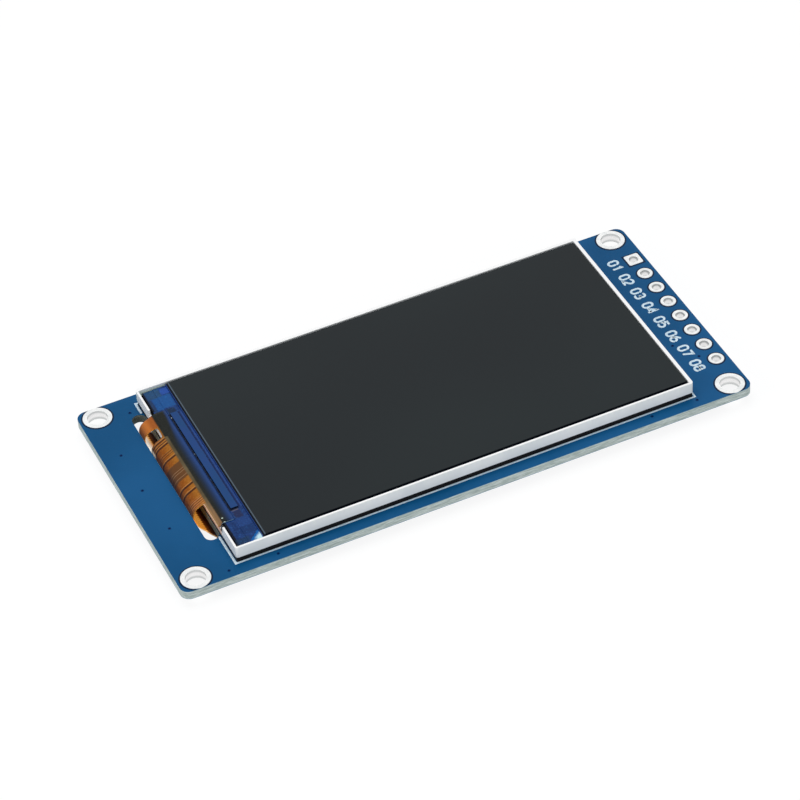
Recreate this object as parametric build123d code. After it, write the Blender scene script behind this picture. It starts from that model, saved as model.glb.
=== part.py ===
from build123d import *
import os
from math import cos, radians, sin, tan

os.makedirs("parts", exist_ok=True)

# A small colour display on its carrier board, in millimetres.
# The long side runs along x, with the pin holes at the +x end and the folded
# flex at the -x end. The display faces up. The board is centred on x and y,
# and z = 0 is the underside of the tallest part behind the board.

# Display, as bought: its outline, which the board's size follows
display_length = 49.72
display_width = 25.8
tape_thickness = 0.65
tape_inset = 0.1

# Circuit board, and how far it stands out round the display
board_flex_margin = 6.2
board_header_margin = 6.08
board_side_margin = 1.45
board_length = board_flex_margin + display_length + board_header_margin
board_width = display_width + 2 * board_side_margin
board_thickness = 1.0
board_corner_radius = 1.0
plating = 0.05

mount_hole_diameter = 2.1
mount_ring_diameter = 3.0
mount_from_short_edge = 1.9
mount_from_long_edge = 1.5

header_count = 8
header_pitch = 2.54
header_hole_diameter = 1.0
header_pad_diameter = 1.6
header_pad_square = 1.6
header_pad_corner = 0.2
header_from_edge = 1.27

# White moulded frame of the backlight
frame_rim = 0.21
frame_wide_rim = 0.36
frame_shelf = 0.95
frame_corner_radius = 0.25
frame_above_display = 0.03
frame_recess_drop = 0.7
frame_recess_gap = 0.45

# Sheets and glass from the back to the front
reflector_thickness = 0.06
guide_thickness = 0.42
diffuser_thickness = 0.04
prism_thickness = 0.045
rear_polarizer_thickness = 0.11
rim_tape_thickness = 0.05
glass_thickness = 0.22
front_polarizer_thickness = 0.11
glass_flex_gap = 0.27
glass_end_gap = 0.05
glass_side_gap = 0.31
sheet_clearance = 0.05
rim_tape_overlap = 0.5
rim_tape_clearance = 0.05
window_margin = 0.15
ledge_width = 2.6
polarizer_setback = 0.22
polarizer_margin = 0.05

# Backlight lamps at the ledge end
led_count = 4
led_length = 2.8
led_depth = 0.8
led_end_margin = 1.2
led_flex_thickness = 0.07
led_flex_overlap = 0.6
led_flex_side_gap = 0.9

# Driver chip and the resin on the ledge
chip_length = 15.5
chip_width = 0.75
chip_thickness = 0.22
chip_from_flex = 0.22
chip_centre_y = 0.35
resin_thickness = 0.05
resin_gap = 0.03

# Display flex: bonded on the ledge, bent through the board and soldered behind it
flex_thickness = 0.1
flex_width = 17.7
flex_centre_y = 0.05
flex_flare = 0.55
flex_bond = 1.15
flex_lip_radius = 0.4
flex_slope = 28.0
flex_bend_radius = 1.15
tail_length = 7.0
tail_shoulder = 2.0
tail_side_margin = 0.3

# Window and notch in the bend: how far they start from the flex's long edges,
# what they leave beside the glass, and how far they reach below the bend's middle
window_near_side = 3.35
window_far_side_top = 1.75
window_far_side_floor = 1.4
window_strip = 0.46
notch_length = 3.65
notch_strip = 0.6
opening_corner = 0.3
opening_depth = 0.45
lower_trim = 2.6

# Slot in the board that the flex passes through
slot_width = 1.5
slot_flex_clearance = 0.04
slot_far_gap = 2.45
slot_near_gap = 0.05

# Solder fingers of the tail
finger_count = 12
finger_pitch = 0.8
finger_width = 0.42
finger_length = 1.5
land_reach = 0.9
solder_height = 0.12

# Three-legged packages behind the board
sot_length = 2.9
sot_width = 1.3
sot_height = 1.1
sot_standoff = 0.08
sot_span = 2.4
sot_pitch = 0.95
sot_draft = 7.0
lead_width = 0.4
lead_thickness = 0.13
lead_foot = 0.3
lead_bend_radius = 0.12

# Two-ended ceramic parts behind the board
capacitor_length = 1.6
capacitor_width = 0.8
capacitor_height = 0.8
capacitor_end = 0.35
resistor_length = 1.6
resistor_width = 0.8
resistor_height = 0.45
resistor_end = 0.3
end_cap_skin = 0.02
land_margin = 0.15

# Places behind the board, from the row of pin holes and the middle line
regulator_from_header = 8.0
regulator_y = 5.2
transistor_y = -6.4
capacitor_from_regulator = 2.9
resistor_row_from_header = 5.0
resistor_count = 3
resistor_pitch = 1.7

# Levels, from the back to the front
board_bottom = plating + sot_height
board_top = board_bottom + board_thickness
land_face = board_bottom - plating
frame_bottom = board_top + tape_thickness
guide_bottom = frame_bottom + reflector_thickness
diffuser_bottom = guide_bottom + guide_thickness
lower_prism_bottom = diffuser_bottom + diffuser_thickness
upper_prism_bottom = lower_prism_bottom + prism_thickness
sheets_top = upper_prism_bottom + prism_thickness
array_bottom = sheets_top + rear_polarizer_thickness
array_top = array_bottom + glass_thickness
filter_top = array_top + glass_thickness
display_top = filter_top + front_polarizer_thickness
frame_top = display_top + frame_above_display
shelf_top = array_bottom - rim_tape_thickness

# Places across the board
board_left = -board_length / 2
board_right = board_length / 2
mount_x = board_right - mount_from_short_edge
mount_y = board_width / 2 - mount_from_long_edge
header_x = board_right - header_from_edge
header_first_y = (header_count - 1) / 2 * header_pitch

display_left = board_left + board_flex_margin
display_right = display_left + display_length
display_side = display_width / 2

wall_left = display_left + frame_rim
wall_right = display_right - frame_wide_rim
wall_near = frame_rim - display_side
wall_far = display_side - frame_wide_rim
array_left = wall_left + glass_flex_gap
array_right = wall_right - glass_end_gap
array_side = -wall_near - glass_side_gap
filter_left = array_left + ledge_width

guide_wall = frame_shelf + sheet_clearance
guide_left = display_left + frame_shelf + led_depth + 2 * sheet_clearance
guide_right = display_right - guide_wall
guide_side = display_side - guide_wall
led_left = display_left + frame_shelf + sheet_clearance
led_flex_right = guide_left + led_flex_overlap
led_flex_side = guide_side - led_flex_side_gap
led_pitch = (2 * (led_flex_side - led_end_margin) - led_length) / (led_count - 1)
sheet_left = led_flex_right + sheet_clearance

flex_near = flex_centre_y - flex_width / 2
flex_far = flex_centre_y + flex_width / 2
flare_far = flex_far + flex_flare
bond_right = array_left + flex_bond
chip_left = bond_right + chip_from_flex
chip_right = chip_left + chip_width

# The bend turns back under the board, flat against its lands.
flex_half = flex_thickness / 2
flex_level = array_top + flex_half
tail_level = land_face - flex_half
bend_centre_z = tail_level + flex_bend_radius
lip_run = flex_lip_radius * sin(radians(flex_slope))
lip_drop = flex_lip_radius * (1 - cos(radians(flex_slope)))
slope_end_z = bend_centre_z + flex_bend_radius * cos(radians(flex_slope))
slope_drop = flex_level - lip_drop - slope_end_z
slope_run = slope_drop / tan(radians(flex_slope))
slope_length = slope_drop / sin(radians(flex_slope))
bend_start_x = array_left - lip_run - slope_run
bend_centre_x = bend_start_x + flex_bend_radius * sin(radians(flex_slope))
flex_outer_x = bend_centre_x - flex_bend_radius - flex_half
tail_end = bend_centre_x + tail_length
tail_half = finger_count * finger_pitch / 2 + tail_side_margin
opening_floor = bend_centre_z - opening_depth

slot_left = flex_outer_x - slot_flex_clearance
slot_centre_x = slot_left + slot_width / 2
slot_near = flex_near - slot_near_gap
slot_far = flex_far + slot_far_gap

mount_places = [
    (side_x * mount_x, side_y * mount_y) for side_x in (-1, 1) for side_y in (-1, 1)
]
header_places = [
    (header_x, header_first_y - pin * header_pitch) for pin in range(header_count)
]
finger_places = [
    (finger - (finger_count - 1) / 2) * finger_pitch for finger in range(finger_count)
]

regulator_x = header_x - regulator_from_header
resistor_x = header_x - resistor_row_from_header
capacitor_places = [
    (regulator_x - capacitor_from_regulator, regulator_y),
    (regulator_x + capacitor_from_regulator, regulator_y),
]
resistor_places = [
    (resistor_x, transistor_y + (place - (resistor_count - 1) / 2) * resistor_pitch)
    for place in range(resistor_count)
]


def slab(x_low, x_high, y_low, y_high, z_low, z_high):
    """A flat rectangular piece between its lowest and highest corners."""
    middle = Pos((x_low + x_high) / 2, (y_low + y_high) / 2, (z_low + z_high) / 2)
    return middle * Box(x_high - x_low, y_high - y_low, z_high - z_low)


def prism(outline, z_low, z_high):
    """A flat outline on the x-y plane carried from one level to another."""
    return extrude(Pos(0, 0, z_low) * outline, amount=z_high - z_low)


def folded_strip(start, heading, steps, thickness, width):
    """A strip bent in the x-z plane, even in thickness, and wide along y.

    Each step is a straight length, or a pair of a bend's radius and its angle,
    which turns the heading from +x towards +z where it is positive.
    """
    upper = []
    lower = []
    x, z = start

    def edge_point(along_x, along_z, angle, side):
        reach = side * thickness / 2
        return Vector(along_x - reach * sin(angle), 0, along_z + reach * cos(angle))

    def on_arc(centre, radius, turn, angle, side):
        sign = 1 if turn > 0 else -1
        reach = radius - sign * side * thickness / 2
        return Vector(
            centre[0] + sign * reach * sin(angle), 0, centre[1] - sign * reach * cos(angle)
        )

    angle = radians(heading)
    for step in steps:
        if isinstance(step, tuple):
            radius, turn = step
            sign = 1 if turn > 0 else -1
            centre = (x - sign * radius * sin(angle), z + sign * radius * cos(angle))
            middle = angle + radians(turn) / 2
            final = angle + radians(turn)
            for track, side in ((upper, 1), (lower, -1)):
                places = [on_arc(centre, radius, turn, a, side) for a in (angle, middle, final)]
                track.append(ThreePointArc(*places))
            angle = final
            x = centre[0] + sign * radius * sin(angle)
            z = centre[1] - sign * radius * cos(angle)
        else:
            next_x = x + step * cos(angle)
            next_z = z + step * sin(angle)
            for track, side in ((upper, 1), (lower, -1)):
                first = edge_point(x, z, angle, side)
                last = edge_point(next_x, next_z, angle, side)
                track.append(Line(first, last))
            x, z = next_x, next_z
    start_end = Line(lower[0] @ 0, upper[0] @ 0)
    far_end = Line(upper[-1] @ 1, lower[-1] @ 1)
    section = Face(Wire([*upper, far_end, *lower, start_end]))
    return extrude(section, amount=width / 2, dir=(0, 1, 0), both=True)


def board_outline():
    """The board's rectangle with its rounded corners."""
    return RectangleRounded(board_length, board_width, board_corner_radius)


def drilled(outline, places, diameter):
    """An outline with round holes at the given places."""
    for x, y in places:
        outline -= Pos(x, y) * Circle(diameter / 2)
    return outline


def circuit_board():
    """The laminate with its routed slot and drilled holes."""
    outline = drilled(board_outline(), mount_places, mount_hole_diameter + 2 * plating)
    outline = drilled(outline, header_places, header_hole_diameter + 2 * plating)
    slot = Rot(0, 0, 90) * SlotOverall(slot_far - slot_near, slot_width)
    outline -= Pos(slot_centre_x, (slot_near + slot_far) / 2) * slot
    return [prism(outline, board_bottom, board_top)]


def plated_hole(x, y, hole_diameter, pad):
    """Tinned copper through one hole, with a pad on both faces of the board."""
    hole = Circle(hole_diameter / 2)
    barrel = Circle(hole_diameter / 2 + plating) - hole
    flange = pad - hole
    piece = prism(Pos(x, y) * barrel, board_bottom, board_top)
    piece += prism(Pos(x, y) * flange, board_top, board_top + plating)
    piece += prism(Pos(x, y) * flange, board_bottom - plating, board_bottom)
    return piece


def mounting_pads():
    """Four plated holes, their rings trimmed where they meet the long edges."""
    block = prism(board_outline(), board_bottom - plating, board_top + plating)
    ring = Circle(mount_ring_diameter / 2)
    return [plated_hole(x, y, mount_hole_diameter, ring) & block for x, y in mount_places]


def header_pads():
    """The row of plated pin holes; the first has a square pad."""
    square = RectangleRounded(header_pad_square, header_pad_square, header_pad_corner)
    round_pad = Circle(header_pad_diameter / 2)
    pads = [square] + [round_pad] * (header_count - 1)
    return [
        plated_hole(x, y, header_hole_diameter, pad)
        for (x, y), pad in zip(header_places, pads)
    ]


def mounting_tape():
    """Black foam tape between the board and the display."""
    x_low = display_left + tape_inset
    x_high = display_right - tape_inset
    side = display_side - tape_inset
    return [slab(x_low, x_high, -side, side, board_top, frame_bottom)]


def backlight_frame():
    """White moulded frame: a low shelf round the light guide, a thin wall round
    the glass, wider at the far side and at the end with the pin holes, and a
    recess in the wall that lets the flex out."""
    centre = Pos((display_left + display_right) / 2, 0)
    outer = centre * RectangleRounded(display_length, display_width, frame_corner_radius)
    guide_room = centre * Rectangle(
        display_length - 2 * frame_shelf, display_width - 2 * frame_shelf
    )
    frame = prism(outer - guide_room, frame_bottom, shelf_top)
    frame += prism(outer, shelf_top, frame_top)
    frame -= slab(wall_left, wall_right, wall_near, wall_far, shelf_top, frame_top)
    recess = slab(
        display_left - frame_rim,
        display_left + frame_rim,
        flex_near - frame_recess_gap,
        flex_far + frame_recess_gap,
        frame_top - frame_recess_drop,
        frame_top + frame_rim,
    )
    return [frame - recess]


def reflector_sheet():
    """White film behind the light guide and the lamps."""
    return [slab(led_left, guide_right, -guide_side, guide_side, frame_bottom, guide_bottom)]


def light_guide():
    """Clear plate that spreads the lamps' light over the whole window."""
    return [slab(guide_left, guide_right, -guide_side, guide_side, guide_bottom, diffuser_bottom)]


def backlight_leds():
    """A row of side-shining lamps against the end of the light guide."""
    lamps = []
    for lamp in range(led_count):
        y = (lamp - (led_count - 1) / 2) * led_pitch
        lamps.append(
            slab(
                led_left,
                led_left + led_depth,
                y - led_length / 2,
                y + led_length / 2,
                guide_bottom,
                diffuser_bottom,
            )
        )
    return lamps


def led_flex():
    """The strip that the lamps are soldered to, over the end of the guide."""
    side = led_flex_side
    top = diffuser_bottom + led_flex_thickness
    return [slab(led_left, led_flex_right, -side, side, diffuser_bottom, top)]


def optical_sheet(z_low, z_high):
    """One film of the stack on the light guide."""
    return [slab(sheet_left, guide_right, -guide_side, guide_side, z_low, z_high)]


def rim_tape():
    """Black tape that holds the glass on the frame and hides the sheets' edges.
    It ends at the glass where the wall is wide, and at the wall elsewhere."""
    inner_left = sheet_left + rim_tape_overlap
    inner_right = guide_right - rim_tape_overlap
    inner_side = guide_side - rim_tape_overlap
    left = wall_left + rim_tape_clearance
    near = wall_near + rim_tape_clearance
    whole = slab(left, array_right, near, array_side, shelf_top, array_bottom)
    window = slab(inner_left, inner_right, -inner_side, inner_side, sheets_top, array_top)
    return [whole - window]


def rear_polarizer():
    """Polarizing film behind the glass, inside the window of the rim tape."""
    left = sheet_left + rim_tape_overlap + window_margin
    right = guide_right - rim_tape_overlap - window_margin
    side = guide_side - rim_tape_overlap - window_margin
    return [slab(left, right, -side, side, sheets_top, array_bottom)]


def array_glass():
    """The rear glass, longer by the ledge that carries the driver chip."""
    return [slab(array_left, array_right, -array_side, array_side, array_bottom, array_top)]


def color_filter_glass():
    """The front glass, which leaves the ledge bare."""
    return [slab(filter_left, array_right, -array_side, array_side, array_top, filter_top)]


def front_polarizer():
    """The dark film that is the display's face."""
    left = filter_left + polarizer_setback
    right = array_right - polarizer_margin
    side = array_side - polarizer_margin
    return [slab(left, right, -side, side, filter_top, display_top)]


def driver_chip():
    """The long bare chip bonded face down on the ledge."""
    half = chip_length / 2
    top = array_top + chip_thickness
    return [
        slab(chip_left, chip_right, chip_centre_y - half, chip_centre_y + half, array_top, top)
    ]


def ledge_resin():
    """Cured blue resin over the wiring of the ledge, open at the chip."""
    half = chip_length / 2 + resin_gap
    top = array_top + resin_thickness
    resin = slab(
        bond_right + resin_gap, filter_left - resin_gap, -array_side, array_side, array_top, top
    )
    opening = slab(
        chip_left - resin_gap,
        chip_right + resin_gap,
        chip_centre_y - half,
        chip_centre_y + half,
        array_top,
        array_top + chip_thickness,
    )
    return [resin - opening]


def bend_opening(corners, x_high):
    """What a cut takes out of the bend, from an outline seen from its outside."""
    outline = Polygon(*corners, align=None)
    outline = fillet(outline.vertices(), opening_corner)
    upright = Pos(slot_left, 0, 0) * (Plane.YZ * outline)
    block = extrude(upright, amount=x_high - slot_left)
    inner_face = block.faces().sort_by(Axis.X)[-1]
    return fillet(inner_face.edges(), opening_corner)


def bend_window():
    """The window near the far edge of the flex, longer below than above."""
    near = flex_far - window_near_side
    far_top = flex_far - window_far_side_top
    far_floor = flex_far - window_far_side_floor
    corners = [
        (near, opening_floor),
        (far_floor, opening_floor),
        (far_top, frame_top),
        (near, frame_top),
    ]
    return bend_opening(corners, array_left - window_strip)


def bend_notch():
    """The notch in the near edge of the flex, which leaves a strip at the glass."""
    near = flex_near - 2 * opening_corner
    far = flex_near + notch_length
    corners = [(near, opening_floor), (far, opening_floor), (far, frame_top), (near, frame_top)]
    return bend_opening(corners, array_left - notch_strip)


def display_flex():
    """The folded flex: bonded on the ledge, over the frame, round through the
    slot and flat under the board. A window and a notch make the bend soft, and
    the part of the bend below them is wider on the far side."""
    steps = [
        flex_bond,
        (flex_lip_radius, flex_slope),
        slope_length,
        (flex_bend_radius, 180 - flex_slope),
        tail_length,
    ]
    width = flare_far - flex_near
    strip = folded_strip((bond_right, flex_level), 180, steps, flex_thickness, width)
    flex = Pos(0, (flex_near + flare_far) / 2, 0) * strip - bend_window() - bend_notch()
    flex -= slab(slot_left, filter_left, flex_far, flare_far, opening_floor, filter_top)
    tail_bottom = land_face - flex_thickness
    notch_floor = opening_floor + opening_corner
    flex -= slab(
        slot_left, tail_end, flex_near, flex_near + lower_trim, tail_bottom, notch_floor
    )
    shoulder_x = bend_centre_x + tail_shoulder
    wide = slab(shoulder_x, tail_end, flex_near, flare_far, tail_bottom, land_face)
    tail = slab(shoulder_x, tail_end, -tail_half, tail_half, tail_bottom, land_face)
    return [flex - (wide - tail)]


def finger_land(y):
    """The outline of one land under a finger of the tail."""
    length = finger_length + land_reach
    return Pos(tail_end - finger_length + length / 2, y) * Rectangle(length, finger_width)


def flex_solder():
    """One solder joint on each finger: flat on its land, rounded over the finger."""
    half = finger_width / 2
    low = land_face - flex_thickness
    sides = Polyline((half, low), (half, land_face), (-half, land_face), (-half, low))
    crown = ThreePointArc((-half, low), (0, low - solder_height), (half, low))
    section = Plane.YZ * Face(Wire([*sides.edges(), crown]))
    joint = extrude(
        Pos(tail_end - finger_length, 0, 0) * section, amount=finger_length + land_reach
    )
    tail = slab(bend_centre_x, tail_end, -tail_half, tail_half, low, land_face)
    return [Pos(0, y, 0) * joint - tail for y in finger_places]


def behind(x, y, turn=0):
    """The place of a part behind the board: its own z runs away from the board."""
    return Pos(x, y, land_face) * Rot(180, 0, turn)


def end_capped(x, y, turn, length, width, height, end):
    """A ceramic block and its two tinned ends."""
    core = Box(length - 2 * end, width, height, align=(Align.CENTER, Align.CENTER, Align.MIN))
    caps = []
    for side in (-1, 1):
        cap = Box(
            end,
            width + 2 * end_cap_skin,
            height + end_cap_skin,
            align=(Align.CENTER, Align.CENTER, Align.MIN),
        )
        caps.append(behind(x, y, turn) * Pos(side * (length - end) / 2, 0, 0) * cap)
    return behind(x, y, turn) * core, caps


def capacitors():
    """Bodies and ends of the capacitors on both sides of the regulator."""
    return [
        end_capped(
            x, y, 90, capacitor_length, capacitor_width, capacitor_height, capacitor_end
        )
        for x, y in capacitor_places
    ]


def resistors():
    """Bodies and ends of the resistors beside the lamp transistor."""
    return [
        end_capped(x, y, 0, resistor_length, resistor_width, resistor_height, resistor_end)
        for x, y in resistor_places
    ]


def sot_body(x, y):
    """A moulded package, drafted both ways from its middle line."""
    middle = (sot_height + sot_standoff) / 2
    outline = Pos(0, 0, middle) * Rectangle(sot_width, sot_length)
    body = extrude(outline, amount=sot_height - middle, taper=sot_draft)
    body += extrude(outline, amount=-(middle - sot_standoff), taper=sot_draft)
    return behind(x, y) * body


def sot_lead_places():
    """The side and the place along the package of its three leads."""
    return [(1, 0), (-1, sot_pitch), (-1, -sot_pitch)]


def sot_leads(x, y):
    """Three leads, bent down from the middle of the package to the lands."""
    middle = (sot_height + sot_standoff) / 2
    foot_level = lead_thickness / 2
    drop = middle - foot_level - 2 * lead_bend_radius
    reach = sot_span / 2 - lead_foot - 2 * lead_bend_radius - sot_width / 2
    steps = [
        reach,
        (lead_bend_radius, -90),
        drop,
        (lead_bend_radius, 90),
        lead_foot,
    ]
    lead = folded_strip((sot_width / 2, middle), 0, steps, lead_thickness, lead_width)
    leads = []
    for side, along in sot_lead_places():
        turned = Rot(0, 0, 0 if side > 0 else 180) * lead
        leads.append(behind(x, y) * Pos(0, along, 0) * turned)
    return leads


def rear_lands():
    """Tinned copper lands behind the board, under every soldered end."""
    outlines = [finger_land(y) for y in finger_places]
    parts = [
        (capacitor_places, capacitor_length, capacitor_width, capacitor_end, 90),
        (resistor_places, resistor_length, resistor_width, resistor_end, 0),
    ]
    for places, length, width, end, turn in parts:
        land = Rectangle(end + 2 * land_margin, width + 2 * land_margin)
        for x, y in places:
            for side in (-1, 1):
                place = Pos(x, y) * Rot(0, 0, turn) * Pos(side * (length - end) / 2, 0)
                outlines.append(place * land)
    foot = lead_foot + lead_bend_radius
    foot_land = Rectangle(foot + 2 * land_margin, lead_width + 2 * land_margin)
    for x, y in ((regulator_x, regulator_y), (regulator_x, transistor_y)):
        for side, along in sot_lead_places():
            middle = side * (sot_span - foot) / 2
            outlines.append(Pos(x + middle, y + along) * foot_land)
    return [prism(outline, land_face, board_bottom) for outline in outlines]


def first(pairs):
    """The body of each pair of a body and its ends."""
    return [core for core, caps in pairs]


def ends(pairs):
    """The two ends of each pair of a body and its ends."""
    return [cap for core, caps in pairs for cap in caps]


nodes = {
    "printed_circuit_board": circuit_board(),
    "mounting_pads": mounting_pads(),
    "header_pads": header_pads(),
    "mounting_tape": mounting_tape(),
    "backlight_frame": backlight_frame(),
    "reflector_sheet": reflector_sheet(),
    "light_guide": light_guide(),
    "backlight_leds": backlight_leds(),
    "led_flex": led_flex(),
    "diffuser_sheet": optical_sheet(diffuser_bottom, lower_prism_bottom),
    "lower_prism_sheet": optical_sheet(lower_prism_bottom, upper_prism_bottom),
    "upper_prism_sheet": optical_sheet(upper_prism_bottom, sheets_top),
    "rim_tape": rim_tape(),
    "rear_polarizer": rear_polarizer(),
    "array_glass": array_glass(),
    "color_filter_glass": color_filter_glass(),
    "front_polarizer": front_polarizer(),
    "driver_chip": driver_chip(),
    "ledge_resin": ledge_resin(),
    "display_flex": display_flex(),
    "flex_solder": flex_solder(),
    "rear_lands": rear_lands(),
    "voltage_regulator": [sot_body(regulator_x, regulator_y)],
    "regulator_leads": sot_leads(regulator_x, regulator_y),
    "lamp_transistor": [sot_body(regulator_x, transistor_y)],
    "transistor_leads": sot_leads(regulator_x, transistor_y),
    "capacitors": first(capacitors()),
    "capacitor_ends": ends(capacitors()),
    "resistors": first(resistors()),
    "resistor_ends": ends(resistors()),
}

for name, solids in nodes.items():
    export_step(Compound(children=solids), f"parts/{name}.step")
    print(name, len(solids))
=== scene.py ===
# %% [markdown]
# # A small colour display on its carrier board
#
# The solid model of the module is already built, and this script dresses it.
# Blender loads the solids as a frame that stays as it is. Some solids only get
# a finish, some get a finer piece in their place, and marks too thin for the
# solids, such as the printed numbers, are added as new surfaces.
# Lengths are written in millimetres and turned into metres at the end.

# %% The frame
import math
from functools import reduce

import bmesh
import bpy
import numpy as np
from mathutils import Matrix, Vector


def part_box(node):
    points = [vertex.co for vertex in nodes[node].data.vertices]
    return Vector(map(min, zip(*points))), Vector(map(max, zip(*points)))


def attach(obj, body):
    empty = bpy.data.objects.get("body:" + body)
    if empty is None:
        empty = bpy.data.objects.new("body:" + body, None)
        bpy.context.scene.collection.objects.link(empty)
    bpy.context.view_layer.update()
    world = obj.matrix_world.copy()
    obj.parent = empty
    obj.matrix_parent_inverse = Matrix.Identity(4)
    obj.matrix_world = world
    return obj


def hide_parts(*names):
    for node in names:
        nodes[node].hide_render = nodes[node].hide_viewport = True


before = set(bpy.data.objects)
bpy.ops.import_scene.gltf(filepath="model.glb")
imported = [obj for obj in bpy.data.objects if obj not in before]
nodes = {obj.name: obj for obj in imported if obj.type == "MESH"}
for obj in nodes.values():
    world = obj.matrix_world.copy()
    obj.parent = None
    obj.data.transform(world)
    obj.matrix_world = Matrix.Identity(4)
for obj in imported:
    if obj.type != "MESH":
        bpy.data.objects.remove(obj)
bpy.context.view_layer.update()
MM = 0.001

# %% [markdown]
# The levels and edges that the new surfaces must meet come from the solids
# themselves: each node's box says where its faces are, so nothing is measured
# twice and a change in the solids moves the dressing along with them.

# %% Levels and edges
def span(node):
    """Lowest and highest corner of a solid, in millimetres."""
    return [[float(value) / MM for value in corner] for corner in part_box(node)]


board_low, board_high = span("printed_circuit_board")
display_low, display_high = span("backlight_frame")
glass_low, glass_high = span("array_glass")
polarizer_low, polarizer_high = span("front_polarizer")
chip_low, chip_high = span("driver_chip")
flex_low, flex_high = span("display_flex")
pads_low, pads_high = span("header_pads")
board_top, board_bottom = board_high[2], board_low[2]
BOARD_MIDDLE, BOARD_HALF = (board_top + board_bottom) / 2, (board_top - board_bottom) / 2
print("board top", round(board_top, 3), "display face", round(polarizer_high[2], 3))

# %% [markdown]
# ## Camera
#
# The picture to match was taken with a long lens from above the front left
# corner. The camera's place and turn were solved from the pin holes and the
# board's corners, so they are plain numbers here, its height counted from the
# board's top. The lens follows from the focal length in pixels of an 800 pixel
# wide picture on a 36 mm sensor.

# %% Camera
AZIMUTH, ELEVATION, ROLL = -22.4375, 42.0279, -4.0666
FOCAL_PIXELS, PICTURE_WIDTH = 3483.92, 800
CAMERA_PLACE = (-100.373, -239.631, 234.3995 + board_top)


def camera_axes(azimuth, elevation, roll):
    """Right, up and back of a camera that looks along +Y at azimuth 0.

    Back is the direction on a sphere at the azimuth and elevation, right is
    level and square to it, up is their cross product, and the roll turns
    right and up in their own plane.
    """
    a, e, r = (math.radians(v) for v in (azimuth, elevation, roll))
    back = np.array([math.sin(a) * math.cos(e), -math.cos(a) * math.cos(e), math.sin(e)])
    level = np.array([math.cos(a), math.sin(a), 0.0])
    lift = np.cross(back, level)
    right = level * math.cos(r) + lift * math.sin(r)
    up = lift * math.cos(r) - level * math.sin(r)
    return right, up, back


def linked(name, data):
    """A new object, linked into the scene."""
    made = bpy.data.objects.new(name, data)
    bpy.context.scene.collection.objects.link(made)
    return made


def posed(name, data, axes, place):
    """A new object whose matrix is written from its axes and its place."""
    made = linked(name, data)
    matrix = np.eye(4)
    matrix[:3, :3] = np.transpose(axes)
    matrix[:3, 3] = place
    made.matrix_world = Matrix(matrix.tolist())
    return made


def place_camera():
    """The one camera, with the lens that the picture was taken with."""
    data = bpy.data.cameras.new("photo_camera")
    data.sensor_width = 36.0
    data.lens = FOCAL_PIXELS * data.sensor_width / PICTURE_WIDTH
    data.clip_start = 0.01
    data.clip_end = 20.0
    axes = camera_axes(AZIMUTH, ELEVATION, ROLL)
    camera = posed("photo_camera", data, axes, np.array(CAMERA_PLACE) * MM)
    bpy.context.scene.camera = camera
    return camera


camera = place_camera()
print("lens", round(camera.data.lens, 1), "mm")

# %% [markdown]
# ## Mixing finishes
#
# Every finish is a node tree, and writing the trees link by link hides what
# they say. Two small classes keep them readable. A Reading is a value that
# varies over the surface. Adding or comparing readings lays down the Math
# nodes, and its other methods turn a value into a mask, a colour or a normal.

# %% Readings
class Reading:
    """A socket's value in a finish, which can be worked with like a number."""

    def __init__(self, finish, socket):
        self.finish = finish
        self.socket = socket

    def out(self, name):
        """Another output of the same node."""
        return Reading(self.finish, self.socket.node.outputs[name])

    def maths(self, operation, *others):
        """One Math node, with this reading in its first socket."""
        return self.finish.node(
            "Math", {"operation": operation}, dict(enumerate((self, *others)))
        )

    def __add__(self, other):
        return self.maths("ADD", other)

    __radd__ = __add__

    def __sub__(self, other):
        return self.maths("SUBTRACT", other)

    def __rsub__(self, other):
        return self.finish.node("Math", {"operation": "SUBTRACT"}, {0: other, 1: self})

    def __mul__(self, other):
        return self.maths("MULTIPLY", other)

    __rmul__ = __mul__

    def __truediv__(self, other):
        return self.maths("DIVIDE", other)

    def __abs__(self):
        return self.maths("ABSOLUTE")

    def __mod__(self, other):
        return self.maths("FLOORED_MODULO", other)

    def __gt__(self, other):
        return self.maths("GREATER_THAN", other)

    def __lt__(self, other):
        return self.maths("LESS_THAN", other)

    def most(self, other):
        """The greater of the two, which unites two masks."""
        return self.maths("MAXIMUM", other)

    def root(self):
        """The square root."""
        return self.maths("SQRT")

    def ease(self, start, end):
        """0 at start, 1 at end, and a smooth slope between them."""
        return self.finish.node(
            "MapRange",
            {"interpolation_type": "SMOOTHSTEP"},
            {"Value": self, "From Min": start, "From Max": end},
        )

    def inside(self, low, high, soft):
        """1 between low and high, falling to 0 over the soft width."""
        return self.ease(low - soft, low + soft) * self.ease(high + soft, high - soft)

    def mix(self, first, second):
        """A colour between two: all first where this is 0, all second where it is 1."""
        return self.finish.node("Mix", {"data_type": "RGBA"}, {0: self, "A": first, "B": second})

    def tones(self, first, second):
        """The same between two screen colours."""
        return self.mix(colour(*first), colour(*second))

    def tint(self, share, red, green, blue):
        """This colour with a share of it turned to a screen colour."""
        return share.mix(self, colour(red, green, blue))

    def parts(self):
        """The x, y and z of this vector."""
        x = self.finish.node("SeparateXYZ", {}, {0: self})
        return x, x.out("Y"), x.out("Z")

    def stretched(self, *factors):
        """This vector with each part multiplied, to draw a pattern out."""
        return self.finish.node("VectorMath", {"operation": "MULTIPLY"}, {0: self, 1: factors})

    def noise(self, scale, detail=2.0, roughness=0.5):
        """An uneven value round one half, read at this vector."""
        sockets = {"Vector": self, "Scale": scale, "Detail": detail, "Roughness": roughness}
        return self.finish.node("TexNoise", {}, sockets)

    def bump(self, strength, distance, normal=None):
        """The normal of a surface that is raised by this height."""
        sockets = {"Height": self, "Strength": strength, "Distance": distance * MM}
        if normal is not None:
            sockets["Normal"] = normal
        return self.finish.node("Bump", {}, sockets)


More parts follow.
